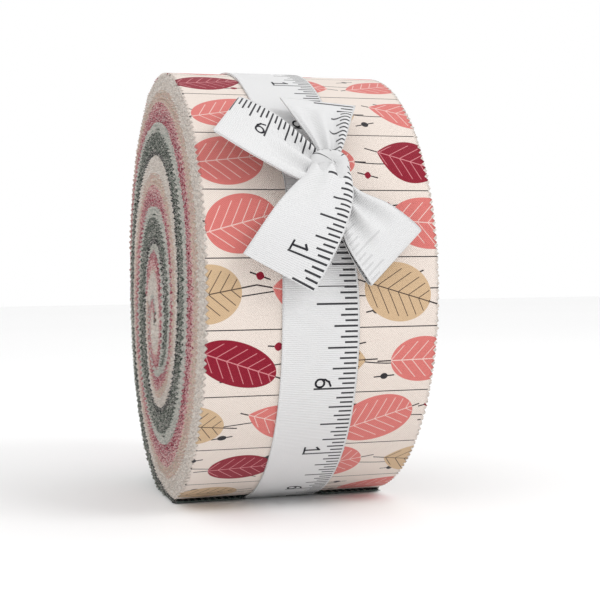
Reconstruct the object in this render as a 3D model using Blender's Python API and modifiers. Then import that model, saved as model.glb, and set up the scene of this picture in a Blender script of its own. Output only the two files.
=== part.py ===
"""Rolled bundle of quilting strips, tied with a ribbon bow.

The folded stack of strips is wound on itself and stands on its round face, which is pressed flat
where it touches the ground. The roll's axis is X, its front faces -Y, and the ground is z = 0.
Places on the ribbon are given on the unrolled round face: millimetres across it (along X), degrees
around it (0 at the front, 90 at the top) and millimetres of height over it.
"""

import math

import bmesh
import bpy
from mathutils import Vector

MM = 0.001

# Roll of strips
STRIP_WIDTH = 63.5 * MM
OUTER_RADIUS = 64.2 * MM
STRIP_END_THICKNESS = 1.2 * MM
STRIP_END_ANGLE = 283.0
FLAT_SPOT_DEPTH = 28.0 * MM
EYE_DROP = 12.0 * MM
DOME_SHIFT = 2.5 * MM
TURN_GROOVE_DEPTH = 1.5 * MM
TURN_GROOVE_HALF_WIDTH = 1.4 * MM
STEPS_PER_TURN = 120
AXIS_HEIGHT = math.sqrt(OUTER_RADIUS**2 - (FLAT_SPOT_DEPTH / 2) ** 2)

# Radius of the line between one turn and the next: degrees before the outer end, millimetres
TURN_LINE = (
    (-960.0, 5.0),
    (-900.0, 8.5),
    (-810.0, 13.5),
    (-720.0, 17.5),
    (-630.0, 20.0),
    (-540.0, 21.5),
    (-450.0, 24.5),
    (-360.0, 30.0),
    (-270.0, 36.5),
    (-180.0, 44.5),
    (-90.0, 52.5),
    (0.0, 63.0),
)

# Ribbon
RIBBON_WIDTH = 21.0 * MM
RIBBON_THICKNESS = 1.2 * MM
GAP = 0.3 * MM
SIDE_CLEARANCE = 1.2 * MM
BAND_MIDDLE = -1.4 * MM
BAND_SLANT = -1.8 * MM
BAND_STEPS = 120
BAND_CELLS_ACROSS = 4
KNOT_PINCH = 0.34
KNOT_PINCH_DEGREES = 16.0
LOBE_STEPS = 24
LOBE_CELLS_ACROSS = 4

# Knot: across, around, height of its middle, then its half sizes the same way
KNOT_PLACE = (1.8, 25.8, 4.9)
KNOT_HALF_SIZE = (5.4 * MM, 6.3 * MM, 4.4 * MM)

# Each lobe of the bow: across, around, height of one edge, then the same of the other edge
UPPER_LEFT_LOOP = (
    (0.5, 28.5, 5.4, -1.2, 23.6, 5.4),
    (-3.5, 33.5, 5.8, -7.0, 23.0, 6.4),
    (-11.0, 40.5, 6.6, -19.0, 27.3, 9.0),
    (-17.3, 46.3, 5.4, -27.3, 31.7, 9.8),
    (-18.6, 47.6, 4.0, -29.0, 32.8, 8.0),
    (-17.6, 46.6, 2.6, -27.6, 32.2, 5.6),
    (-11.0, 41.0, 2.6, -19.0, 28.0, 3.4),
    (-3.5, 33.0, 2.8, -7.0, 23.6, 2.8),
    (0.5, 28.5, 3.2, -1.2, 23.6, 3.2),
)
LOWER_RIGHT_LOOP = (
    (3.6, 27.0, 4.9, 1.6, 22.6, 4.7),
    (8.5, 21.2, 5.4, 1.8, 16.5, 4.7),
    (16.5, 17.5, 6.4, 4.5, 8.5, 5.0),
    (23.2, 13.2, 6.2, 9.3, 1.9, 5.2),
    (24.9, 12.0, 4.6, 10.9, 0.3, 3.9),
    (23.4, 12.9, 2.9, 9.6, 1.5, 2.6),
    (16.5, 17.3, 2.6, 4.8, 8.8, 2.6),
    (8.6, 21.0, 2.8, 2.2, 16.8, 2.7),
    (3.6, 26.5, 3.2, 1.8, 23.0, 3.1),
)
UPPER_RIGHT_TAIL = (
    (0.3, 28.0, 4.6, 4.2, 28.0, 4.6),
    (-1.4, 34.2, 4.3, 7.3, 33.0, 4.7),
    (-4.3, 41.2, 4.0, 10.4, 39.0, 4.9),
    (-6.4, 49.4, 3.4, 13.8, 45.4, 4.6),
)
LOWER_LEFT_TAIL = (
    (-0.4, 24.8, 6.0, 3.6, 23.2, 6.2),
    (-7.6, 21.8, 6.8, 6.2, 16.4, 7.6),
    (-14.5, 16.2, 7.6, 2.8, 9.8, 8.0),
    (-20.2, 10.8, 7.4, -1.4, 3.2, 6.8),
    (-23.9, 7.1, 6.4, -5.0, -1.2, 5.2),
)


def clear_scene():
    for item in list(bpy.data.objects):
        bpy.data.objects.remove(item, do_unlink=True)


def collection(name, is_shown):
    made = bpy.data.collections.new(name)
    made.hide_render = not is_shown
    bpy.context.scene.collection.children.link(made)
    return made


def material(name, colour, roughness):
    made = bpy.data.materials.new(name)
    made.use_nodes = True
    shader = made.node_tree.nodes["Principled BSDF"]
    shader.inputs["Base Color"].default_value = (*colour, 1.0)
    shader.inputs["Roughness"].default_value = roughness
    shader.inputs["Metallic"].default_value = 0.0
    return made


def add_object(name, bm, home, finish):
    bmesh.ops.recalc_face_normals(bm, faces=bm.faces)
    mesh = bpy.data.meshes.new(name)
    bm.to_mesh(mesh)
    bm.free()
    made = bpy.data.objects.new(name, mesh)
    home.objects.link(made)
    mesh.materials.append(finish)
    for polygon in mesh.polygons:
        polygon.use_smooth = True
    return made


def smooth_between(rows, place):
    """Row number place, a fraction allowed, on a smooth curve through the rows."""
    first = min(int(place), len(rows) - 2)
    part = place - first
    before = rows[max(first - 1, 0)]
    after = rows[min(first + 2, len(rows) - 1)]
    found = []
    for a, b, c, d in zip(before, rows[first], rows[first + 1], after):
        slope_in = (c - a) / 2
        slope_out = (d - b) / 2
        bend = 3 * (c - b) - 2 * slope_in - slope_out
        twist = 2 * (b - c) + slope_in + slope_out
        found.append(b + part * (slope_in + part * (bend + part * twist)))
    return found


def turn_line_radius(angle):
    """Radius of the line between two turns, at an angle before the outer end."""
    for (angle_a, radius_a), (angle_b, radius_b) in zip(TURN_LINE, TURN_LINE[1:]):
        if angle <= angle_b:
            part = (angle - angle_a) / (angle_b - angle_a)
            return (radius_a + part * (radius_b - radius_a)) * MM
    return TURN_LINE[-1][1] * MM


def outer_radius(angle):
    """Radius of the round face, at an angle before the outer end."""
    start = OUTER_RADIUS - STRIP_END_THICKNESS
    return start + STRIP_END_THICKNESS * (angle + 360.0) / 360.0


def pressed(direction, radius, lowest):
    """How far the ground, or a line over it, presses the round face in: the share that is left."""
    drop = -math.sin(direction)
    if drop <= 0.0:
        return 1.0
    return min(1.0, (AXIS_HEIGHT - lowest) / (drop * radius))


def section_point(angle, radius, lowest):
    """Y and Z of a point of the wound section. The turns centre on an eye below the roll's middle."""
    direction = math.radians(angle + STRIP_END_ANGLE)
    rim = outer_radius(angle if angle > -360.0 else angle % 360.0 - 360.0)
    share = min(1.0, radius / rim)
    squeezed = radius * (1.0 - (1.0 - pressed(direction, rim, lowest)) * share**6)
    eye = -EYE_DROP * (1.0 - share)
    return -squeezed * math.cos(direction), AXIS_HEIGHT + eye + squeezed * math.sin(direction)


def end_shift(radius):
    """The strips telescope a little towards -X, most of all in the middle."""
    share = min(1.0, radius / OUTER_RADIUS)
    return -DOME_SHIFT * (1.0 - share**2)


def layer_places(inner, outer):
    """Radii of the lines along one turn: its groove, two shoulders and its middle."""
    shoulder = min(TURN_GROOVE_HALF_WIDTH, 0.25 * (outer - inner))
    return inner, inner + shoulder, (inner + outer) / 2, outer - shoulder


def groove_depth(angle):
    """The groove between two turns fades out towards the eye."""
    full_turns_out = (angle - TURN_LINE[0][0]) / 360.0
    return TURN_GROOVE_DEPTH * min(1.0, full_turns_out)


def band_centre(direction):
    return BAND_MIDDLE + BAND_SLANT * math.sin(direction)


def across_stations():
    """X of the lines along the round face between its two ends, with the ribbon's bed among them."""
    middle = BAND_MIDDLE - BAND_SLANT
    bed = RIBBON_WIDTH / 2 + SIDE_CLEARANCE
    wall = 0.8 * MM
    left, right = middle - bed, middle + bed
    return (
        (left - wall, False),
        (left, True),
        (right, True),
        (right + wall, False),
    )


def roll_of_strips(home, finish):
    bm = bmesh.new()
    first_step = round(TURN_LINE[0][0] / 360.0 * STEPS_PER_TURN)
    layers = 4
    known = {}

    def end_vertex(side, step, layer):
        if layer == layers and step + STEPS_PER_TURN <= 0:
            step, layer = step + STEPS_PER_TURN, 0
        key = (side, step, layer)
        if key not in known:
            angle = step * 360.0 / STEPS_PER_TURN
            inner = turn_line_radius(angle)
            outside = step + STEPS_PER_TURN > 0
            outer = outer_radius(angle) if outside else turn_line_radius(angle + 360.0)
            radius = outer if layer == layers else layer_places(inner, outer)[layer]
            y, z = section_point(angle, radius, 0.0)
            on_rim = layer == layers or (step == 0 and layer == 0)
            sunk = groove_depth(angle) if layer == 0 and not on_rim else 0.0
            x = side * (STRIP_WIDTH / 2 - sunk) + end_shift(radius)
            known[key] = bm.verts.new((x, y, z))
        return known[key]

    for side in (-1, 1):
        for step in range(first_step, 0):
            for layer in range(layers):
                bm.faces.new((
                    end_vertex(side, step, layer),
                    end_vertex(side, step + 1, layer),
                    end_vertex(side, step + 1, layer + 1),
                    end_vertex(side, step, layer + 1),
                ))
        eye = [end_vertex(side, first_step + k, 0) for k in range(STEPS_PER_TURN + 1)]
        eye += [end_vertex(side, first_step, layer) for layer in range(layers - 1, 0, -1)]
        bm.faces.new(eye)

    ring = {}
    for step in range(-STEPS_PER_TURN, 1):
        angle = step * 360.0 / STEPS_PER_TURN
        row = [end_vertex(-1, step, layers)]
        for x, is_bed in across_stations():
            lowest = RIBBON_THICKNESS + GAP if is_bed else 0.0
            y, z = section_point(angle, outer_radius(angle), lowest)
            row.append(bm.verts.new((x, y, z)))
        row.append(end_vertex(1, step, layers))
        ring[step] = row
    for step in range(-STEPS_PER_TURN, 0):
        for a, b, c, d in zip(ring[step], ring[step][1:], ring[step + 1][1:], ring[step + 1]):
            bm.faces.new((a, b, c, d))

    inner, outer = ring[-STEPS_PER_TURN], ring[0]
    for place in range(1, len(inner) - 2):
        bm.faces.new((inner[place], inner[place + 1], outer[place + 1], outer[place]))
    for side, beside in ((-1, 1), (1, -2)):
        edge = [end_vertex(side, 0, layer) for layer in range(layers + 1)]
        bm.faces.new(edge + [outer[beside], inner[beside]])

    bmesh.ops.remove_doubles(bm, verts=bm.verts, dist=0.00001)
    bmesh.ops.triangulate(bm, faces=bm.faces)
    return add_object("rolled_strips", bm, home, finish)


def over_roll(across, around, height):
    """A point over the round face: millimetres, degrees up from the front, millimetres."""
    direction = math.radians(around)
    reach = OUTER_RADIUS + height * MM
    return Vector((across * MM, -reach * math.cos(direction), AXIS_HEIGHT + reach * math.sin(direction)))


def sheet_between(name, edges, is_ring, home, finish, cells_across):
    """A ribbon stretch of even thickness between two edges, given as pairs of points."""
    bm = bmesh.new()
    rows = []
    for edge_a, edge_b in edges:
        row = [edge_a.lerp(edge_b, k / cells_across) for k in range(cells_across + 1)]
        rows.append([bm.verts.new(point) for point in row])
    following = rows[1:] + rows[:1] if is_ring else rows[1:]
    for row, after in zip(rows, following):
        for a, b, c, d in zip(row, row[1:], after[1:], after):
            bm.faces.new((a, b, c, d))
    made = add_object(name, bm, home, finish)
    thick = made.modifiers.new("thickness", "SOLIDIFY")
    thick.thickness = RIBBON_THICKNESS
    thick.offset = -1.0 if is_ring else 0.0
    thick.use_even_offset = True
    return made


def band(home, finish):
    """The ribbon's turn around the roll, from its outer face in, pinched a little at the knot."""
    edges = []
    for step in range(BAND_STEPS):
        around = step * 360.0 / BAND_STEPS
        direction = math.radians(around)
        angle = (around - STRIP_END_ANGLE) % 360.0 - 360.0
        clear = outer_radius(angle) + GAP + RIBBON_THICKNESS
        reach = clear * pressed(direction, clear, 0.0)
        from_knot = abs((around - KNOT_PLACE[1] + 180.0) % 360.0 - 180.0) / KNOT_PINCH_DEGREES
        half_width = RIBBON_WIDTH / 2 * (1.0 - KNOT_PINCH * math.exp(-(from_knot**2)))
        y = -reach * math.cos(direction)
        z = AXIS_HEIGHT + reach * math.sin(direction)
        centre = band_centre(direction)
        edges.append((Vector((centre - half_width, y, z)), Vector((centre + half_width, y, z))))
    return sheet_between("ribbon_tie", edges, True, home, finish, BAND_CELLS_ACROSS)


def lobe(name, stations, home, finish):
    """One loop or tail of the bow, smooth along its stations."""
    edges = []
    for step in range(LOBE_STEPS + 1):
        place = step / LOBE_STEPS * (len(stations) - 1)
        row = smooth_between(stations, place)
        edges.append((over_roll(*row[:3]), over_roll(*row[3:])))
    return sheet_between(name, edges, False, home, finish, LOBE_CELLS_ACROSS)


def knot(home, finish):
    bm = bmesh.new()
    bmesh.ops.create_uvsphere(bm, u_segments=24, v_segments=12, radius=1.0)
    place = over_roll(*KNOT_PLACE)
    lean = math.radians(KNOT_PLACE[1])
    upwards = Vector((0.0, math.sin(lean), math.cos(lean)))
    outwards = Vector((0.0, -math.cos(lean), math.sin(lean)))
    for vertex in bm.verts:
        x, y, z = vertex.co
        vertex.co = (
            place
            + Vector((1.0, 0.0, 0.0)) * x * KNOT_HALF_SIZE[0]
            + upwards * y * KNOT_HALF_SIZE[1]
            + outwards * z * KNOT_HALF_SIZE[2]
        )
    return add_object("knot_lump", bm, home, finish)


def ribbon_tie(home, joined_home, finish):
    tie = band(home, finish)
    lumps = [knot(joined_home, finish)]
    lumps.append(lobe("upper_left_loop", UPPER_LEFT_LOOP, joined_home, finish))
    lumps.append(lobe("lower_right_loop", LOWER_RIGHT_LOOP, joined_home, finish))
    lumps.append(lobe("upper_right_tail", UPPER_RIGHT_TAIL, joined_home, finish))
    lumps.append(lobe("lower_left_tail", LOWER_LEFT_TAIL, joined_home, finish))
    for lump in lumps:
        lump.display_type = "WIRE"
        lump.hide_render = True
        join = tie.modifiers.new("join " + lump.name, "BOOLEAN")
        join.operation = "UNION"
        join.solver = "EXACT"
        join.object = lump
    return tie


def main():
    clear_scene()
    bundle = collection("rolled_fabric_strips", True)
    joined = collection("joined_into_ribbon", False)
    cotton = material("printed_cotton", (0.86, 0.80, 0.74), 0.9)
    tape = material("twill_tape", (0.90, 0.90, 0.89), 0.85)
    roll_of_strips(bundle, cotton)
    ribbon_tie(bundle, joined, tape)


main()
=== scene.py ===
"""Looks of the rolled bundle of fabric strips: pinked layers, printed outer strip and taped bow.

The roll's axis is X, its front faces -Y and the ground is z = 0. A place in the winding is a turn
angle, in degrees before the outer end, and a share of the stack, 0 at its inner side and 1 at its
outer side. Places on the ribbon are millimetres across the roll, degrees up from the front and
millimetres over the round face.
"""

import math

import bpy
import numpy as np
from mathutils import Matrix, Vector


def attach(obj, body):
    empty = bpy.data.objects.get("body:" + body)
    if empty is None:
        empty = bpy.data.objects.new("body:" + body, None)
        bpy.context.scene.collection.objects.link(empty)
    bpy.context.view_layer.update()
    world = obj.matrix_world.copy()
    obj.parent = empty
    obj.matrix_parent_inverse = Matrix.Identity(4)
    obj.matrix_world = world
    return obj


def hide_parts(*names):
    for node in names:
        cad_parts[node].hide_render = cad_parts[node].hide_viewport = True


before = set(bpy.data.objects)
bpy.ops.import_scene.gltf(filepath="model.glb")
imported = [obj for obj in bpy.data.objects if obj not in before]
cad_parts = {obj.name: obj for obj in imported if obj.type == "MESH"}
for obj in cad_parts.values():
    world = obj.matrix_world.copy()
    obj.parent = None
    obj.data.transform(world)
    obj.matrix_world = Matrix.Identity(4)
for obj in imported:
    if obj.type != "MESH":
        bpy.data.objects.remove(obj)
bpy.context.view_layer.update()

MM = 0.001
RANDOM = np.random.default_rng(7)

# Roll, as in the part's source
STRIP_WIDTH = 63.5 * MM
OUTER_RADIUS = 64.2 * MM
STRIP_END_THICKNESS = 1.2 * MM
STRIP_END_ANGLE = 283.0
FLAT_SPOT_DEPTH = 28.0 * MM
EYE_DROP = 12.0 * MM
DOME_SHIFT = 2.5 * MM
AXIS_HEIGHT = math.sqrt(OUTER_RADIUS**2 - (FLAT_SPOT_DEPTH / 2) ** 2)
BED_DEPTH = 1.5 * MM

# Radius of the line between one turn and the next: degrees before the outer end, millimetres
TURN_LINE = (
    (-1320.0, 0.5),
    (-1200.0, 2.0),
    (-1080.0, 3.5),
    (-960.0, 5.0),
    (-900.0, 8.5),
    (-810.0, 13.5),
    (-720.0, 17.5),
    (-630.0, 20.0),
    (-540.0, 21.5),
    (-450.0, 24.5),
    (-360.0, 30.0),
    (-270.0, 36.5),
    (-180.0, 44.5),
    (-90.0, 50.8),
    (-45.0, 55.0),
    (0.0, 63.0),
)

# Share of the stack that is missing near the eye: degrees before the outer end, share
MISSING_INSIDE = ((-1320.0, 0.38), (-705.0, 0.38), (-668.0, 0.0))
STACK_FROM = -840.0
CORE_FROM = -1320.0

# Share of the stack that is left near the outer end: degrees before the outer end, share
STACK_LEFT = (
    (-180.0, 1.0),
    (-145.0, 0.80),
    (-103.0, 0.62),
    (-75.0, 0.42),
    (-50.0, 0.33),
    (-15.0, 0.10),
    (0.0, 0.05),
)

# How the stack is pressed: degrees before the outer end, power. Under 1 the inner layers are looser.
SHARE_POWER = (
    (-1320.0, 1.0),
    (-720.0, 0.9),
    (-643.0, 0.68),
    (-553.0, 1.0),
    (-463.0, 0.7),
    (-370.0, 1.0),
    (-283.0, 1.3),
    (-193.0, 1.0),
    (0.0, 1.0),
)

# The core is narrower from front to back than it is high: share of the rim's radius, share of the width
CORE_WIDTH = ((0.0, 0.72), (0.30, 0.72), (0.62, 0.98), (0.80, 1.0), (1.0, 1.0))

# Strips
LAYERS = 80
LAYER_FILL = 0.82
ENDS_FROM = -180.0
TOOTH_PITCH = 2.0 * MM
TOOTH_DEPTH = 0.95 * MM
EDGE_BAND = 2.6 * MM
EDGE_JITTER = 0.28 * MM
CLOTH = 0.3 * MM
WEAVE_PITCH = 0.62

# Ends of the strips at the back: how many, degrees under the neighbour, shortest that is drawn
STRIP_ENDS = 26
TUCK_DEGREES = 6.0
SHORTEST_END_DEGREES = 2.0

# Rings of the roll's body from left to right: side, share of the radius
BODY_RINGS = (
    (-1, 0.02),
    (-1, 0.35),
    (-1, 0.7),
    (-1, 1.0),
    (0, 1.0),
    (1, 1.0),
    (1, 0.7),
    (1, 0.35),
    (1, 0.02),
)

# Fabrics across the stack: name, share where it ends, colours of its cut edges
FABRICS = (
    ("ink", 0.04, ((52, 54, 54), (104, 106, 102), (36, 38, 38))),
    ("forest", 0.30, ((84, 92, 84), (140, 144, 136), (48, 56, 50))),
    ("mist", 0.38, ((194, 194, 186), (160, 166, 158), (214, 208, 200))),
    ("crimson", 0.52, ((172, 84, 98), (204, 152, 154), (122, 46, 62))),
    ("rose", 0.66, ((200, 134, 138), (222, 184, 180), (154, 84, 94))),
    ("sand", 0.77, ((216, 192, 174), (204, 170, 162), (184, 172, 156))),
    ("cream", 1.01, ((224, 212, 202), (198, 188, 180), (234, 228, 220))),
)
# The strips' fold is at the eye, so the first turn has them the other way round
CORE_FABRICS = (("cream", 0.42), ("sand", 0.5), ("rose", 0.7), ("crimson", 0.88), ("mist", 1.01))
STRAY = 0.035

# Ribbon
RIBBON_WIDTH = 21.0 * MM
TAPE = 0.45 * MM
TAPE_LIFT = 0.14 * MM
BAND_MIDDLE = -1.4 * MM
BAND_SLANT = -1.8 * MM
BAND_STEPS = 240
KNOT_PINCH = 0.34
KNOT_PINCH_DEGREES = 16.0
LOBE_STEPS = 72
CELLS_ACROSS = 24
PLEATS = 2.5
MARK_PITCH = 1.46
MARKS_TO_NUMERAL = 16
PLEAT_HEIGHT = 1.0 * MM
KNOT_PLACE = (1.8, 25.8, 4.9)
KNOT_HALF_SIZE = (5.4 * MM, 6.3 * MM, 4.4 * MM)

# Each lobe of the bow: across, around, height of one edge, then the same of the other edge
UPPER_LEFT_LOOP = (
    (0.5, 28.5, 5.4, -1.2, 23.6, 5.4),
    (-3.5, 33.5, 5.8, -7.0, 23.0, 6.4),
    (-11.0, 40.5, 6.6, -19.0, 27.3, 9.0),
    (-17.3, 46.3, 5.4, -27.3, 31.7, 9.8),
    (-18.6, 47.6, 4.0, -28.6, 33.2, 9.0),
    (-17.6, 46.6, 2.8, -27.0, 33.2, 8.4),
    (-11.0, 41.0, 2.8, -18.6, 28.8, 7.2),
    (-3.5, 33.0, 3.0, -6.8, 24.6, 4.6),
    (0.5, 28.5, 3.2, -1.2, 24.2, 3.8),
)
LOWER_RIGHT_LOOP = (
    (3.6, 27.0, 4.9, 1.6, 22.6, 4.7),
    (8.5, 21.2, 5.4, 1.8, 16.5, 4.7),
    (16.5, 17.5, 6.4, 4.5, 8.5, 5.0),
    (23.2, 13.2, 6.2, 9.3, 1.9, 5.2),
    (24.9, 12.0, 4.6, 10.9, 0.3, 3.9),
    (23.4, 12.9, 2.9, 9.6, 1.5, 2.6),
    (16.5, 17.3, 2.6, 4.8, 8.8, 2.6),
    (8.6, 21.0, 2.8, 2.2, 16.8, 2.7),
    (3.6, 26.5, 3.2, 1.8, 23.0, 3.1),
)
UPPER_RIGHT_TAIL = (
    (0.3, 28.0, 4.6, 4.2, 28.0, 4.6),
    (-1.4, 34.2, 4.3, 7.3, 33.0, 4.7),
    (-4.3, 41.2, 4.0, 10.4, 39.0, 4.9),
    (-6.4, 49.4, 3.4, 13.8, 45.4, 4.6),
)
LOWER_LEFT_TAIL = (
    (-3.2, 27.0, 6.0, 6.6, 26.8, 6.0),
    (-5.6, 24.2, 6.5, 7.0, 22.6, 6.5),
    (-8.8, 21.7, 6.9, 6.4, 18.3, 6.9),
    (-14.1, 17.2, 7.8, 3.7, 12.5, 7.8),
    (-19.3, 11.8, 7.6, -0.3, 6.2, 7.6),
    (-23.5, 7.0, 6.4, -4.9, -1.1, 5.4),
)

# Camera, fitted to the photograph's outline
CAMERA_AT = Vector((-0.0976, -0.3778, 0.0650))
CAMERA_AIM = Vector((0.0113, 0.0, 0.0582))
CAMERA_ROLL = -0.7
CAMERA_LENS = 76.2

# How bright a cloth colour is under the studio light, against how it should look
CLOTH_SHADE = 0.86


def linear(red, green, blue):
    """A colour as it looks in the studio light, 0 to 255, as the cloth's own linear colour."""
    found = []
    for value in (red, green, blue):
        share = value / 255.0
        share = share / 12.92 if share <= 0.04045 else ((share + 0.055) / 1.055) ** 2.4
        found.append(share * CLOTH_SHADE)
    return (*found, 1.0)


# Winding

def smooth_table(table, place):
    """The table's second column at a place in its first, on a smooth curve."""
    known, value = np.array(table).T
    slope = np.gradient(value, known)
    place = np.asarray(place, float)
    first = np.clip(np.searchsorted(known, place) - 1, 0, len(known) - 2)
    span = known[first + 1] - known[first]
    t = np.clip((place - known[first]) / span, 0.0, 1.0)
    a, b = value[first], value[first + 1]
    m, n = slope[first] * span, slope[first + 1] * span
    return a + t * (m + t * (3 * (b - a) - 2 * m - n + t * (2 * (a - b) + m + n)))


def turn_line(turn):
    return smooth_table(TURN_LINE, turn) * MM


def rim_radius(turn):
    """Radius of the round face, at a turn angle of the last turn."""
    return OUTER_RADIUS - STRIP_END_THICKNESS + STRIP_END_THICKNESS * (turn + 360.0) / 360.0


def table_at(table, turn):
    return np.interp(turn, *np.array(table).T)


def layer_radius(turn, share, is_core=False):
    """Radius of a layer. Past ENDS_FROM the outer layers have ended, and the rest fill the turn."""
    inner = turn_line(turn)
    outer = np.where(turn <= -360.0, turn_line(turn + 360.0), rim_radius(turn))
    missing = 0.0 if is_core else table_at(MISSING_INSIDE, turn)
    part = (share - missing) / (table_at(STACK_LEFT, turn) - missing)
    return inner + (outer - inner) * np.clip(part, 0.0, 1.05) ** table_at(SHARE_POWER, turn)


def layer_start(share):
    turn, missing = np.array(MISSING_INSIDE[:0:-1]).T
    return STACK_FROM if share >= missing[-1] else float(np.interp(share, missing, turn))


def layer_end(share):
    turn, left = np.array(STACK_LEFT[::-1]).T
    return float(np.interp(share, left, turn))


def pressed(direction, radius, lowest):
    drop = np.maximum(-np.sin(direction), 1e-6)
    return np.minimum(1.0, (AXIS_HEIGHT - lowest) / (drop * radius))


def section(turn, radius, lowest=0.0):
    """Y and Z of points of the wound section."""
    direction = np.radians(turn + STRIP_END_ANGLE)
    rim = rim_radius(np.where(turn > -360.0, turn, np.mod(turn, 360.0) - 360.0))
    share = np.minimum(1.0, radius / rim)
    squeezed = radius * (1.0 - (1.0 - pressed(direction, rim, lowest)) * share**6)
    eye = -EYE_DROP * (1.0 - share)
    across = squeezed * smooth_table(CORE_WIDTH, share)
    return -across * np.cos(direction), AXIS_HEIGHT + eye + squeezed * np.sin(direction)


def end_shift(radius):
    return -DOME_SHIFT * (1.0 - np.minimum(1.0, radius / OUTER_RADIUS) ** 2)


def walk(start, end, radius_at, pitch):
    """Turn angles evenly spaced along a wound path, and the length from its start to each."""
    turn = np.linspace(start, end, max(8, int(abs(end - start) / 1.5)))
    y, z = section(turn, radius_at(turn))
    length = np.concatenate([[0.0], np.cumsum(np.hypot(np.diff(y), np.diff(z)))])
    count = max(2, int(length[-1] / pitch))
    along = np.linspace(0.0, length[-1], count + 1)
    return np.interp(along, length, turn), along


def fabric_at(share, table=FABRICS):
    return next(row[0] for row in table if share < row[1])


def winding_layers():
    """Every layer's fabric, share, first and last turn angle, and whether it is of the core."""
    found = []
    for layer in range(LAYERS):
        share = (layer + 0.5) / LAYERS
        # Strips of another colour lie here and there, most of all where two fabrics meet
        near = float(np.clip(share + RANDOM.normal(0.0, STRAY), 0.0, 1.0))
        found.append((fabric_at(near), share, layer_start(share), layer_end(share), False))
        found.append((fabric_at(near, CORE_FABRICS), share, CORE_FROM, STACK_FROM, True))
    return found


# Meshes

def mesh_object(name, points, faces, finish, slots=None, uv=None):
    """An object from arrays of points and four-cornered faces."""
    points, faces = np.asarray(points, float), np.asarray(faces, int)
    mesh = bpy.data.meshes.new(name)
    mesh.vertices.add(len(points))
    mesh.vertices.foreach_set("co", points.ravel())
    mesh.loops.add(faces.size)
    mesh.loops.foreach_set("vertex_index", faces.ravel())
    mesh.polygons.add(len(faces))
    mesh.polygons.foreach_set("loop_start", np.arange(len(faces)) * 4)
    mesh.polygons.foreach_set("loop_total", np.full(len(faces), 4))
    for item in finish:
        mesh.materials.append(item)
    if slots is not None:
        mesh.polygons.foreach_set("material_index", np.asarray(slots, int))
    if uv is not None:
        layer = mesh.uv_layers.new(name="unrolled")
        layer.uv.foreach_set("vector", np.asarray(uv, float)[faces.ravel()].ravel())
    mesh.update(calc_edges=True)
    mesh.validate()
    made = bpy.data.objects.new(name, mesh)
    bpy.context.scene.collection.objects.link(made)
    return made


def settle(piece, node):
    """The piece rides with the part and stands for a node, whose own mesh is hidden."""
    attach(piece, "root")
    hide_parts(node)
    return piece


def smooth_faces(piece):
    piece.data.polygons.foreach_set("use_smooth", np.ones(len(piece.data.polygons), bool))


def grid_faces(rows, columns, start=0, flip=False):
    row, column = np.meshgrid(np.arange(rows - 1), np.arange(columns - 1), indexing="ij")
    corner = (start + row * columns + column).ravel()
    faces = np.stack([corner, corner + 1, corner + columns + 1, corner + columns], axis=1)
    return faces[:, ::-1] if flip else faces


# Materials

class Shader:
    """A Principled material with a short way to write its maths."""

    def __init__(self, name, roughness):
        self.material = bpy.data.materials.new(name)
        self.material.use_nodes = True
        self.tree = self.material.node_tree
        self.surface = self.tree.nodes["Principled BSDF"]
        self.surface.inputs["Roughness"].default_value = roughness
        self.surface.inputs["Specular IOR Level"].default_value = 0.25

    def put(self, socket, value):
        if isinstance(value, bpy.types.NodeSocket):
            self.tree.links.new(value, socket)
        else:
            socket.default_value = value

    def math(self, operation, *values):
        node = self.tree.nodes.new("ShaderNodeMath")
        node.operation = operation
        for socket, value in zip(node.inputs, values):
            self.put(socket, value)
        return node.outputs[0]

    def mix(self, share, first, second):
        node = self.tree.nodes.new("ShaderNodeMix")
        node.data_type = "RGBA"
        self.put(node.inputs["Factor"], share)
        self.put(node.inputs["A"], first)
        self.put(node.inputs["B"], second)
        return node.outputs["Result"]

    def place(self):
        return self.tree.nodes.new("ShaderNodeTexCoord").outputs["Object"]

    def unrolled(self):
        """Millimetres across and along the cloth."""
        node = self.tree.nodes.new("ShaderNodeUVMap")
        node.uv_map = "unrolled"
        split = self.tree.nodes.new("ShaderNodeSeparateXYZ")
        self.put(split.inputs[0], node.outputs[0])
        across = self.math("MULTIPLY", split.outputs[0], 1000.0)
        along = self.math("MULTIPLY", split.outputs[1], 1000.0)
        return across, along

    def joined(self, x, y, z=0.0):
        node = self.tree.nodes.new("ShaderNodeCombineXYZ")
        self.put(node.inputs[0], x)
        self.put(node.inputs[1], y)
        self.put(node.inputs[2], z)
        return node.outputs[0]

    def noise(self, place, scale, detail=2.0):
        node = self.tree.nodes.new("ShaderNodeTexNoise")
        self.put(node.inputs["Vector"], place)
        node.inputs["Scale"].default_value = scale
        node.inputs["Detail"].default_value = detail
        return node.outputs["Fac"]

    def chance(self, x, y, seed):
        node = self.tree.nodes.new("ShaderNodeTexWhiteNoise")
        self.put(node.inputs["Vector"], self.joined(x, y, seed))
        return node.outputs["Value"]

    def step(self, value, low, high):
        """0 below low and 1 above high."""
        node = self.tree.nodes.new("ShaderNodeMapRange")
        node.interpolation_type = "SMOOTHSTEP"
        self.put(node.inputs["Value"], value)
        self.put(node.inputs["From Min"], low)
        self.put(node.inputs["From Max"], high)
        return node.outputs["Result"]

    def bump(self, height, distance, strength=1.0):
        node = self.tree.nodes.new("ShaderNodeBump")
        node.inputs["Distance"].default_value = distance
        node.inputs["Strength"].default_value = strength
        self.put(node.inputs["Height"], height)
        self.put(self.surface.inputs["Normal"], node.outputs[0])

    def weave(self, across, along, pitch):
        """Height of a plain weave: threads over and under each other."""
        warp = self.math("SINE", self.math("MULTIPLY", across, 2 * math.pi / pitch))
        weft = self.math("SINE", self.math("MULTIPLY", along, 2 * math.pi / pitch))
        return self.math("MULTIPLY", warp, weft)


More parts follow.
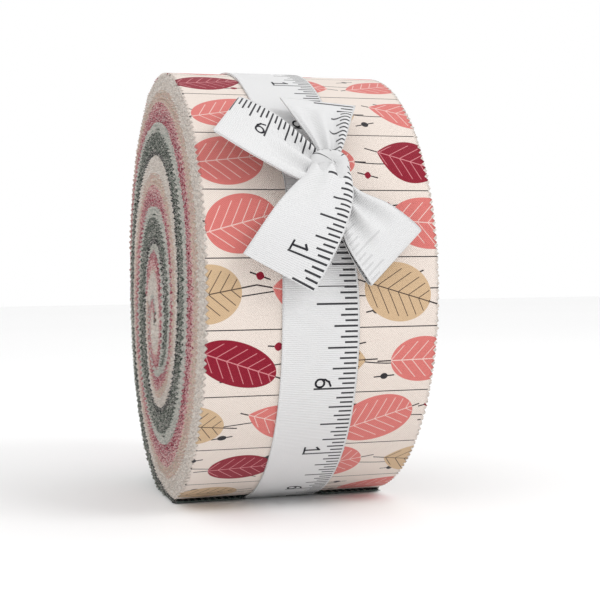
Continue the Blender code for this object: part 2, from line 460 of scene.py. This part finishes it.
def edge_cloth(name, colours):
    """Cut edge of dyed cotton: flecks of the strips' colours between pale broken fibres."""
    shader = Shader("cut_edge_" + name, 0.95)
    place = shader.place()
    first = shader.step(shader.noise(place, 1300.0), 0.46, 0.54)
    colour = shader.mix(first, linear(*colours[0]), linear(*colours[1]))
    second = shader.step(shader.noise(place, 1700.0), 0.53, 0.58)
    colour = shader.mix(second, colour, linear(*colours[2]))
    fuzz = shader.step(shader.noise(place, 2400.0), 0.52, 0.64)
    colour = shader.mix(shader.math("MULTIPLY", fuzz, 0.7), colour, linear(222, 214, 208))
    shader.put(shader.surface.inputs["Base Color"], colour)
    shader.bump(shader.noise(place, 2600.0), 0.0002, 0.6)
    return shader.material


def printed_cloth(name, ground, sprigs):
    """Printed cotton with scattered leaves and berries on thin stems, each in one flat ink."""
    shader = Shader(name, 0.86)
    calc = shader.math
    across, along = shader.unrolled()
    colour = linear(*ground)
    for seed, cell_across, cell_along, half_length, half_width, inks, line, has_lines in sprigs:
        # Rows of cells, shifted by chance, with one leaf or berry in each cell
        row = calc("FLOOR", calc("DIVIDE", along, cell_along))
        moved = calc("ADD", across, calc("MULTIPLY", shader.chance(row, 0.0, seed), cell_across))
        column = calc("FLOOR", calc("DIVIDE", moved, cell_across))
        p = calc("MULTIPLY_ADD", column, -cell_across, calc("SUBTRACT", moved, cell_across / 2))
        q = calc("MULTIPLY_ADD", row, -cell_along, calc("SUBTRACT", along, cell_along / 2))
        turn_by = calc("MULTIPLY_ADD", shader.chance(column, row, seed + 2.0), 0.76, -0.38)
        cosine, sine = calc("COSINE", turn_by), calc("SINE", turn_by)
        length = calc("ADD", calc("MULTIPLY", p, cosine), calc("MULTIPLY", q, sine))
        side = calc("SUBTRACT", calc("MULTIPLY", q, cosine), calc("MULTIPLY", p, sine))
        from_rib = calc("ABSOLUTE", side)
        # Leaves differ in length and width, and some are pointed and some are rounded
        long = calc("MULTIPLY_ADD", shader.chance(column, row, seed + 5.0), 0.3, 0.72)
        wide = calc("MULTIPLY_ADD", shader.chance(column, row, seed + 3.0), 0.35, 0.65)
        reach = calc("DIVIDE", length, calc("MULTIPLY", long, half_length))
        room = calc("MAXIMUM", calc("SUBTRACT", 1.0, calc("MULTIPLY", reach, reach)), 0.0)
        is_round = calc("GREATER_THAN", shader.chance(column, row, seed + 4.0), 0.45)
        power = calc("MULTIPLY_ADD", is_round, -0.4, 0.9)
        outline = calc("MULTIPLY", calc("MULTIPLY", calc("POWER", room, power), half_width), wide)
        inside = shader.step(calc("SUBTRACT", outline, from_rib), -0.05, 0.12)
        # Each leaf has a rib and slanted veins
        rib = calc("LESS_THAN", from_rib, line)
        slanted = calc("SUBTRACT", length, calc("MULTIPLY", from_rib, 0.85))
        veins = calc("LESS_THAN", calc("PINGPONG", slanted, 1.5), line)
        is_within = calc("LESS_THAN", from_rib, calc("MULTIPLY", outline, 0.8))
        drawn = calc("MULTIPLY", calc("MAXIMUM", rib, veins), is_within)
        pick = shader.chance(column, row, seed + 1.0)
        ink, mark = linear(*inks[0][1]), linear(*inks[0][2])
        for above, leaf, vein in inks[1:]:
            is_next = calc("GREATER_THAN", pick, above)
            ink = shader.mix(is_next, ink, linear(*leaf))
            mark = shader.mix(is_next, mark, linear(*vein))
        # Stems, and with lines also a swaying twine along each row and a line between rows
        is_near = calc("LESS_THAN", calc("ABSOLUTE", length), half_length + 1.6)
        stem = calc("MULTIPLY", calc("LESS_THAN", from_rib, 0.2), is_near)
        if has_lines:
            sway = calc("MULTIPLY", calc("SINE", calc("MULTIPLY", moved, 0.16)), 0.9)
            twine = calc("LESS_THAN", calc("ABSOLUTE", calc("SUBTRACT", q, sway)), 0.17)
            between = calc("SUBTRACT", calc("ABSOLUTE", q), cell_along / 2)
            between = calc("LESS_THAN", calc("ABSOLUTE", between), 0.15)
            stem = calc("MAXIMUM", stem, calc("MAXIMUM", twine, between))
        colour = shader.mix(stem, colour, linear(52, 48, 50))
        colour = shader.mix(inside, colour, shader.mix(drawn, ink, mark))
    # Partly painted shade: the colour darkens and lightens with the weave's height, the way light falls on
    # the threads' relief; the flecks are the cloth's own random tone
    threads = shader.weave(across, along, WEAVE_PITCH)
    flecks = shader.noise(shader.joined(across, along), 3.0, 3.0)
    shade = shader.math("MULTIPLY_ADD", threads, 0.035, shader.math("MULTIPLY_ADD", flecks, 0.06, 0.93))
    weave_shaded_colour = shader.mix(shade, (0.0, 0.0, 0.0, 1.0), colour)
    shader.put(shader.surface.inputs["Base Color"], weave_shaded_colour)
    shader.surface.inputs["Sheen Weight"].default_value = 0.15
    shader.bump(threads, 0.00012, 0.7)
    return shader.material


def dotted_cloth(name, ground, dots, pitch, radius):
    """Cotton in one colour with small round dots."""
    shader = Shader(name, 0.86)
    across, along = shader.unrolled()
    row = shader.math("FLOOR", shader.math("DIVIDE", along, pitch))
    shifted = shader.math("MULTIPLY_ADD", shader.math("MODULO", row, 2.0), pitch / 2, across)
    p = shader.math("SUBTRACT", shader.math("PINGPONG", shifted, pitch / 2), pitch / 4)
    q = shader.math("SUBTRACT", shader.math("PINGPONG", along, pitch / 2), pitch / 4)
    squares = shader.math("ADD", shader.math("MULTIPLY", p, p), shader.math("MULTIPLY", q, q))
    away = shader.math("SQRT", squares)
    colour = shader.mix(shader.math("LESS_THAN", away, radius), linear(*ground), linear(*dots))
    shader.put(shader.surface.inputs["Base Color"], colour)
    shader.bump(shader.weave(across, along, WEAVE_PITCH), 0.00012, 0.7)
    return shader.material


def tape_cloth(name, ground, ink_share):
    """White ribbed tape with the plain marks of a tape measure along one edge."""
    shader = Shader(name, 0.8)
    across, along = shader.unrolled()
    marks = 0.0
    for every, reach in ((1, 4.0), (2, 5.2), (4, 7.0), (8, 8.6), (MARKS_TO_NUMERAL, 11.8)):
        near = shader.math("LESS_THAN", shader.math("PINGPONG", along, every * MARK_PITCH / 2), 0.27)
        tick = shader.math("MULTIPLY", near, shader.math("LESS_THAN", across, reach))
        marks = shader.math("MAXIMUM", marks, tick)
    marks = shader.math("MULTIPLY", marks, shader.math("GREATER_THAN", across, 0.5))
    worn = shader.math("MULTIPLY", marks, ink_share)
    # Partly painted shade: the colour darkens and lightens in step with the ribs that also make the bump;
    # the flecks are the tape's own random tone
    ribs = shader.math("SINE", shader.math("MULTIPLY", along, 2 * math.pi / 0.55))
    flecks = shader.noise(shader.joined(across, along), 2.0, 3.0)
    rib_shade_and_flecks = shader.math("MULTIPLY_ADD", ribs, 0.03, flecks)
    cloth = shader.mix(rib_shade_and_flecks, linear(*ground), linear(226, 226, 227))
    shader.put(shader.surface.inputs["Base Color"], shader.mix(worn, cloth, linear(34, 34, 40)))
    shader.surface.inputs["Sheen Weight"].default_value = 0.2
    shader.bump(ribs, 0.0001, 0.6)
    return shader.material


def plain_ink(name):
    shader = Shader(name, 0.8)
    shade = shader.noise(shader.place(), 1500.0)
    ink = shader.mix(shade, linear(28, 28, 34), linear(48, 48, 54))
    shader.put(shader.surface.inputs["Base Color"], ink)
    return shader.material


# Roll

def pinked_edges(side, fabric, finish, layers):
    """The pinked edges of one fabric's layers at one end of the roll, as one piece."""
    points, faces, total = [], [], 0
    for name, share, start, end, is_core in layers:
        if name != fabric or end - start < 4.0:
            continue
        phase = RANDOM.uniform(0.0, 3.0)
        turn, along = walk(
            start + phase,
            end,
            lambda t, share=share, is_core=is_core: layer_radius(t, share, is_core),
            TOOTH_PITCH / 2,
        )
        radius = layer_radius(turn, share, is_core)
        next_radius = layer_radius(turn, share + 1.0 / LAYERS, is_core)
        half = LAYER_FILL / 2 * np.clip(next_radius - radius, 0.1 * MM, 0.6 * MM)
        reach = STRIP_WIDTH / 2 - TOOTH_DEPTH * (np.arange(len(turn)) % 2)
        wander = RANDOM.normal(0.0, 1.0, 2)
        drift = EDGE_JITTER * (wander[0] + 0.5 * np.sin(along / (9.0 * MM) + 6.0 * wander[1]))
        reach = reach + drift + RANDOM.normal(0.0, 0.12 * MM, len(turn))
        reach = np.minimum(reach, STRIP_WIDTH / 2 + 0.6 * MM)
        row = []
        for offset, is_edge in ((half, False), (half, True), (-half, True), (-half, False)):
            y, z = section(turn, radius + offset)
            base = np.full(len(turn), STRIP_WIDTH / 2 - EDGE_BAND)
            x = side * (reach if is_edge else base) + end_shift(radius)
            row.append(np.stack([x, y, z], axis=1))
        points.append(np.stack(row, axis=1).reshape(-1, 3))
        faces.append(grid_faces(len(turn), 4, total, side < 0))
        total += 4 * len(turn)
    name = "pinked_" + fabric + ("_left" if side < 0 else "_right")
    piece = mesh_object(name, np.concatenate(points), np.concatenate(faces), [finish])
    return settle(piece, "rolled_strips")


def bed_height(x, lowest):
    """Height of the ground, or of the ribbon's bed, under a place across the roll."""
    middle = BAND_MIDDLE - BAND_SLANT
    beside = np.abs(x - middle) - (RIBBON_WIDTH / 2 + 1.2 * MM)
    return lowest + BED_DEPTH * np.clip(1.0 - beside / (0.8 * MM), 0.0, 1.0)


def wound_sheet(name, start, end, radius_at, finish):
    """A strip's full width along a stretch of the winding, with pinked edges, and its length."""
    turn, along = walk(start, end, radius_at, TOOTH_PITCH / 2)
    inset = TOOTH_DEPTH * (np.arange(len(turn)) % 2) + np.abs(RANDOM.normal(0.0, 0.1 * MM, len(turn)))
    body = np.linspace(-1.0, 1.0, 41)
    columns = np.concatenate([[-1.0], body * (1.0 - 2.4 * MM / STRIP_WIDTH), [1.0]])
    points, marks = [], []
    for depth in (0.0, CLOTH):
        radius = radius_at(turn) - depth
        grid = np.zeros((len(turn), len(columns), 3))
        for k, column in enumerate(columns):
            x = column * STRIP_WIDTH / 2 + end_shift(radius)
            if abs(column) == 1.0:
                x = x - np.sign(column) * inset
            y, z = section(turn, radius, bed_height(x, depth))
            grid[:, k] = np.stack([x, y, z], axis=1)
        points.append(grid.reshape(-1, 3))
        unrolled = np.broadcast_to(along[:, None], grid.shape[:2])
        marks.append(np.stack([grid[:, :, 0], unrolled], axis=2).reshape(-1, 2))
    rows, wide = len(turn), len(columns)
    lower = rows * wide
    faces = [grid_faces(rows, wide), grid_faces(rows, wide, lower, True)]
    along_edge = np.arange(rows - 1) * wide
    for column, flip in ((0, True), (wide - 1, False)):
        a = along_edge + column
        rim = np.stack([a, a + wide, a + wide + lower, a + lower], axis=1)
        faces.append(rim[:, ::-1] if flip else rim)
    across_edge = np.arange(wide - 1)
    for row, flip in ((0, False), (rows - 1, True)):
        a = across_edge + row * wide
        rim = np.stack([a, a + 1, a + 1 + lower, a + lower], axis=1)
        faces.append(rim[:, ::-1] if flip else rim)
    points, faces, marks = map(np.concatenate, (points, faces, marks))
    piece = mesh_object(name, points, faces, [finish], uv=marks)
    smooth_faces(piece)
    settle(piece, "rolled_strips")
    return piece, float(along[-1])


def roll_body(finish):
    """What lies behind the pinked edges and between the strips."""
    turn = np.linspace(-360.0, 0.0, 241)
    rings = []
    for x_share, radius_share in BODY_RINGS:
        radius = (rim_radius(turn) - 0.55 * MM) * radius_share
        x = x_share * (STRIP_WIDTH / 2 - EDGE_BAND + 0.15 * MM) + end_shift(radius)
        y, z = section(turn, radius, BED_DEPTH + 0.4 * MM if x_share == 0 else 0.5 * MM)
        rings.append(np.stack([x, y, z], axis=1))
    points = np.stack(rings, axis=1).reshape(-1, 3)
    piece = mesh_object("roll_body", points, grid_faces(len(turn), len(rings)), [finish])
    smooth_faces(piece)
    return settle(piece, "rolled_strips")


# Ribbon

def over_roll(across, around, height):
    direction = math.radians(around)
    reach = OUTER_RADIUS + height * MM
    return Vector((across * MM, -reach * math.cos(direction), AXIS_HEIGHT + reach * math.sin(direction)))


def smooth_between(rows, place):
    """Row number place, a fraction allowed, on a smooth curve through the rows."""
    first = min(int(place), len(rows) - 2)
    part = place - first
    before = rows[max(first - 1, 0)]
    after = rows[min(first + 2, len(rows) - 1)]
    found = []
    for a, b, c, d in zip(before, rows[first], rows[first + 1], after):
        slope_in = (c - a) / 2
        slope_out = (d - b) / 2
        bend = 3 * (c - b) - 2 * slope_in - slope_out
        twist = 2 * (b - c) + slope_in + slope_out
        found.append(b + part * (slope_in + part * (bend + part * twist)))
    return found


class Tape:
    """A stretch of tape between two edges: its middle surface, its normals and its flat places."""

    def __init__(self, edges, starts_at, pleats=0.0, crown=0.0, is_ring=False):
        share = np.linspace(0.0, 1.0, CELLS_ACROSS + 1)
        a = np.array([tuple(edge[0]) for edge in edges])
        b = np.array([tuple(edge[1]) for edge in edges])
        self.points = a[:, None] + (b - a)[:, None] * share[None, :, None]
        middle = (a + b) / 2
        step = np.linalg.norm(np.diff(middle, axis=0), axis=1)
        self.along = starts_at + np.concatenate([[0.0], np.cumsum(step)])
        self.across = share * RIBBON_WIDTH
        down = np.gradient(self.points, axis=0)
        wide = np.gradient(self.points, axis=1)
        normal = np.cross(wide, down)
        normal = normal / np.linalg.norm(normal, axis=2, keepdims=True)
        # The front is the side that faces away from the roll where the tape starts
        away = self.points[1, CELLS_ACROSS // 2] - np.array((0.0, 0.0, AXIS_HEIGHT))
        self.is_turned = float(np.dot(normal[1, CELLS_ACROSS // 2, 1:], away[1:])) < 0.0
        self.normals = -normal if self.is_turned else normal
        # Where the tape is drawn in, its width goes into pleats
        width = np.linalg.norm(b - a, axis=1)
        drawn_in = np.sqrt(np.clip(RIBBON_WIDTH / width - 1.15, 0.0, 1.6))
        height = np.minimum(width * drawn_in / (math.pi * PLEATS), pleats)
        waves = np.sin(2 * math.pi * PLEATS * share)
        arch = np.broadcast_to(crown, len(width))[:, None] * (1.0 - (2.0 * share[None, :] - 1.0) ** 2)
        self.points = self.points + self.normals * (height[:, None] * waves[None, :] + arch)[:, :, None]
        self.is_ring = is_ring

    def solid(self, name, front, back):
        rows, wide = self.points.shape[:2]
        half = TAPE / 2
        top = (self.points + self.normals * half).reshape(-1, 3)
        under = (self.points - self.normals * half).reshape(-1, 3)
        across, along = np.broadcast_arrays(self.across[None, :], self.along[:, None])
        flat = np.stack([across, along], axis=2).reshape(-1, 2)
        lower = rows * wide
        faces = [
            grid_faces(rows, wide, 0, self.is_turned),
            grid_faces(rows, wide, lower, not self.is_turned),
        ]
        slots = [np.zeros(len(faces[0]), int), np.ones(len(faces[1]), int)]
        a = np.arange(rows - 1) * wide
        for column, flip in ((0, True), (wide - 1, False)):
            rim = np.stack([a, a + wide, a + wide + lower, a + lower], axis=1) + column
            faces.append(rim[:, ::-1] if flip != self.is_turned else rim)
            slots.append(np.ones(len(rim), int))
        if not self.is_ring:
            c = np.arange(wide - 1)
            for row, flip in ((0, False), (rows - 1, True)):
                rim = np.stack([c, c + 1, c + 1 + lower, c + lower], axis=1) + row * wide
                faces.append(rim[:, ::-1] if flip != self.is_turned else rim)
                slots.append(np.ones(len(rim), int))
        piece = mesh_object(
            name,
            np.concatenate([top, under]),
            np.concatenate(faces),
            [front, back],
            np.concatenate(slots),
            np.concatenate([flat, flat]),
        )
        smooth_faces(piece)
        return settle(piece, "ribbon_tie")

    def at(self, along, across, lift):
        """A point over the tape's front, at a flat place on it."""
        row = np.interp(along, self.along, np.arange(len(self.along)))
        column = np.clip(across / RIBBON_WIDTH * CELLS_ACROSS, 0, CELLS_ACROSS)
        i, j = int(min(row, len(self.along) - 2)), int(min(column, CELLS_ACROSS - 1))
        s, t = row - i, column - j
        found = []
        for grid in (self.points, self.normals):
            near = grid[i, j] * (1 - t) + grid[i, j + 1] * t
            far = grid[i + 1, j] * (1 - t) + grid[i + 1, j + 1] * t
            found.append(near * (1 - s) + far * s)
        return found[0] + found[1] * (TAPE / 2 + lift)


def band_tape():
    edges = []
    for step in range(BAND_STEPS + 1):
        around = step * 360.0 / BAND_STEPS
        direction = math.radians(around)
        turn = (around - STRIP_END_ANGLE) % 360.0 - 360.0
        clear = float(rim_radius(turn)) + TAPE_LIFT + TAPE / 2
        reach = clear * float(pressed(direction, clear, 0.05 * MM + TAPE / 2))
        from_knot = abs((around - KNOT_PLACE[1] + 180.0) % 360.0 - 180.0) / KNOT_PINCH_DEGREES
        half_width = RIBBON_WIDTH / 2 * (1.0 - KNOT_PINCH * math.exp(-(from_knot**2)))
        y = -reach * math.cos(direction)
        z = AXIS_HEIGHT + reach * math.sin(direction)
        centre = BAND_MIDDLE + BAND_SLANT * math.sin(direction)
        edges.append((Vector((centre + half_width, y, z)), Vector((centre - half_width, y, z))))
    return Tape(edges, 0.0, is_ring=True)


def lobe_tape(stations, starts_at, is_swapped, pleats=PLEAT_HEIGHT, crowns=(0.0,)):
    edges = []
    for step in range(LOBE_STEPS + 1):
        row = smooth_between(stations, step / LOBE_STEPS * (len(stations) - 1))
        pair = (over_roll(*row[:3]), over_roll(*row[3:]))
        edges.append(pair[::-1] if is_swapped else pair)
    place = np.linspace(0.0, len(stations) - 1.0, LOBE_STEPS + 1)
    return Tape(edges, starts_at, pleats, np.interp(place, range(len(crowns)), crowns) * MM)


def knot(finish):
    """The knot: tape drawn tight over the loops, its marked edge along the top and the right side."""
    rings, steps = 28, 72
    place = np.array(over_roll(*KNOT_PLACE))
    lean = math.radians(KNOT_PLACE[1])
    sideways = np.array((1.0, 0.0, 0.0))
    upwards = np.array((0.0, math.sin(lean), math.cos(lean)))
    outwards = np.array((0.0, -math.cos(lean), math.sin(lean)))
    points, flat = [], []
    for i in range(rings + 1):
        away = math.pi * (0.01 + 0.98 * i / rings)
        for j in range(steps + 1):
            turn = 2 * math.pi * j / steps
            right, up = math.cos(turn), math.sin(turn)
            # A boxy outline, fuller below where the front tail leaves it
            boxy = (abs(right) ** 2.6 + abs(up) ** 2.6) ** (-1 / 2.6)
            reach = math.sin(away) ** 0.8 * boxy
            x, y = reach * right, reach * up
            # Folds run from the upper left and fan out towards the lower right
            fan = math.atan2(y + 1.5, x + 1.9)
            fold = math.sin(13.0 * fan) * math.sin(away) ** 2
            height = math.cos(away) * (1.0 - 0.18 * max(0.0, -y)) + 0.06 * fold
            across = x * KNOT_HALF_SIZE[0] * (1.0 + 0.02 * fold)
            points.append(
                place
                + sideways * across
                + upwards * y * KNOT_HALF_SIZE[1] * (1.08 if y < 0.0 else 0.94)
                + outwards * height * KNOT_HALF_SIZE[2]
            )
            from_edge = (1.0 - away / (math.pi / 2)) * 12.5 * MM
            is_marked = -0.6 < turn < 2.5 or turn > 2 * math.pi - 0.6
            arc = (turn if turn < math.pi else turn - 2 * math.pi) * 7.0 * MM
            flat.append((max(from_edge, 0.0) if is_marked else 15.0 * MM, arc + 30.0 * MM))
    piece = mesh_object("knot", points, grid_faces(rings + 1, steps + 1), [finish], uv=flat)
    smooth_faces(piece)
    return settle(piece, "ribbon_tie")


NUMERAL_STROKES = {
    "1": (((-0.26, 0.0), (0.26, 0.0)), ((0.0, 0.0), (0.0, 1.0)), ((0.0, 1.0), (-0.24, 0.80))),
    "6": (
        tuple(
            (0.28 * math.cos(t * math.pi / 12), 0.29 + 0.28 * math.sin(t * math.pi / 12))
            for t in range(25)
        ),
        ((-0.28, 0.29), (-0.24, 0.62), (-0.08, 0.88), (0.20, 1.0)),
    ),
}
STROKE = 0.13


def numeral(text, tape, mark, finish, name):
    """A plain numeral beside a long mark, its head towards the tape's marked edge."""
    size = 4.2 * MM
    along_sign = -1.0 if tape.is_turned else 1.0
    points, faces = [], []
    for stroke in NUMERAL_STROKES[text]:
        for (ax, ay), (bx, by) in zip(stroke, stroke[1:]):
            length = math.hypot(bx - ax, by - ay)
            ux, uy = (bx - ax) / length * STROKE / 2, (by - ay) / length * STROKE / 2
            corners = (
                (ax - ux - uy, ay - uy + ux),
                (ax - ux + uy, ay - uy - ux),
                (bx + ux + uy, by + uy - ux),
                (bx + ux - uy, by + uy + ux),
            )
            first = len(points)
            for gx, gy in corners:
                along = mark * MARKS_TO_NUMERAL * MARK_PITCH * MM + along_sign * (gx * size - 1.7 * MM)
                points.append(tape.at(along, 11.4 * MM - gy * size, 0.04 * MM))
            faces.append((first, first + 1, first + 2, first + 3))
    piece = mesh_object(name, points, faces, [finish])
    return settle(piece, "ribbon_tie")


# Scene

def studio():
    bpy.ops.mesh.primitive_plane_add(size=6.0, location=(0.0, 0.0, -0.0002))
    floor = bpy.context.object
    floor.name = "floor"
    paint = Shader("floor_paint", 0.9)
    shade = paint.noise(paint.place(), 1.5)
    white = paint.mix(shade, (0.92, 0.92, 0.92, 1.0), (0.95, 0.95, 0.95, 1.0))
    paint.put(paint.surface.inputs["Base Color"], white)
    floor.data.materials.append(paint.material)
    world = bpy.context.scene.world or bpy.data.worlds.new("studio")
    bpy.context.scene.world = world
    world.use_nodes = True
    world.node_tree.nodes["Background"].inputs["Color"].default_value = (1.0, 1.0, 1.0, 1.0)
    world.node_tree.nodes["Background"].inputs["Strength"].default_value = 1.0
    for name, place, size, power in (
        ("key", (0.55, -0.75, 0.80), 0.45, 4.2),
        ("fill", (-0.9, -0.4, 0.4), 0.7, 1.0),
    ):
        light = bpy.data.lights.new(name, "AREA")
        light.size = size
        light.energy = power
        lamp = bpy.data.objects.new(name, light)
        lamp.location = place
        lamp.rotation_euler = (Vector((0.0, 0.0, 0.06)) - Vector(place)).to_track_quat("-Z", "Y").to_euler()
        bpy.context.scene.collection.objects.link(lamp)
    bpy.context.scene.view_settings.view_transform = "Standard"


def camera():
    data = bpy.data.cameras.new("camera")
    data.lens = CAMERA_LENS
    data.sensor_width = 36.0
    data.clip_start = 0.01
    made = bpy.data.objects.new("camera", data)
    look = (CAMERA_AIM - CAMERA_AT).to_track_quat("-Z", "Y").to_matrix()
    roll = Matrix.Rotation(math.radians(CAMERA_ROLL), 3, "Z")
    made.matrix_world = Matrix.Translation(CAMERA_AT) @ (look @ roll).to_4x4()
    bpy.context.scene.collection.objects.link(made)
    bpy.context.scene.camera = made


def main():
    studio()
    camera()
    edges = {name: edge_cloth(name, colours) for name, _, colours in FABRICS}
    layers = winding_layers()
    for name, _, _ in FABRICS:
        pinked_edges(-1, name, edges[name], layers)
        pinked_edges(1, name, edges[name], layers)
    roll_body(edges["sand"])
    # Seed, room across and along, half length and width, inks (chance above, leaf, vein), line, twine
    sprigs = (
        (53.0, 21.0, 9.25, 1.3, 1.2, (
            (0.0, (44, 42, 46), (44, 42, 46)),
            (0.6, (150, 10, 44), (150, 10, 44)),
        ), 0.05, False),
        (17.0, 25.5, 18.5, 11.4, 8.4, (
            (0.0, (230, 128, 122), (250, 212, 204)),
            (0.50, (150, 8, 42), (224, 140, 146)),
            (0.80, (222, 190, 152), (96, 78, 64)),
        ), 0.15, True),
    )
    print_cloth = printed_cloth("leaf_print", (247, 234, 224), sprigs)
    outer, length = wound_sheet("outer_strip", -360.0, ENDS_FROM - 1.0, rim_radius, print_cloth)

    ends = {
        "ink": dotted_cloth("dotted_black", (30, 29, 31), (240, 236, 232), 7.0, 0.8),
        "forest": dotted_cloth("dotted_green", (86, 98, 94), (206, 206, 200), 4.0, 0.5),
        "mist": dotted_cloth("dotted_grey", (196, 198, 194), (120, 126, 124), 5.0, 0.6),
        "crimson": dotted_cloth("dotted_crimson", (158, 28, 54), (244, 200, 198), 4.6, 0.5),
        "rose": dotted_cloth("dotted_rose", (226, 122, 122), (250, 226, 220), 5.0, 0.7),
        "sand": dotted_cloth("dotted_sand", (226, 200, 172), (160, 60, 70), 6.0, 0.6),
        "cream": dotted_cloth("dotted_cream", (244, 236, 228), (230, 130, 126), 6.0, 0.6),
    }
    for k in range(STRIP_ENDS):
        low, high = 1.0 - k / STRIP_ENDS, 1.0 - (k + 1) / STRIP_ENDS
        start, end = layer_end(low), layer_end(high)
        if end - start > SHORTEST_END_DEGREES:
            piece, length = wound_sheet(
                f"strip_end_{k:02d}",
                start - TUCK_DEGREES,
                end,
                lambda t: rim_radius(t) - CLOTH * np.clip(1.0 - (t - start) / (end - start), 0.0, 1.2),
                ends[fabric_at((low + high) / 2)],
            )

    tape_front = tape_cloth("tape_front", (234, 234, 234), 0.97)
    tape_back = tape_cloth("tape_back", (232, 232, 232), 0.16)
    band = band_tape()
    upper_left = lobe_tape(UPPER_LEFT_LOOP, 0.006, False)
    lower_right = lobe_tape(LOWER_RIGHT_LOOP, 0.004, True)
    upper_right = lobe_tape(UPPER_RIGHT_TAIL, 0.001, True, 0.85 * MM)
    lower_left = lobe_tape(LOWER_LEFT_TAIL, -0.0045, True, 0.35 * MM, (2.7, 2.3, 1.3, 0.4, 0.0))
    for name, tape, front, back, held in (
        ("tape_band", band, tape_front, tape_back, "stretched"),
        ("loop_upper_left", upper_left, tape_front, tape_back, "folded"),
        ("loop_lower_right", lower_right, tape_back, tape_front, "folded"),
        ("tail_upper_right", upper_right, tape_front, tape_back, "gathered"),
        ("tail_lower_left", lower_left, tape_front, tape_back, "gathered"),
    ):
        piece = tape.solid(name, front, back)
    knot(tape_front)
    ink = plain_ink("numeral_ink")
    numeral("1", lower_left, 1, ink, "numeral_tail")
    numeral("6", upper_left, 1, ink, "numeral_loop")
    for mark in range(1, 17):
        numeral("1" if mark % 2 else "6", band, mark, ink, f"numeral_band_{mark:02d}")


main()
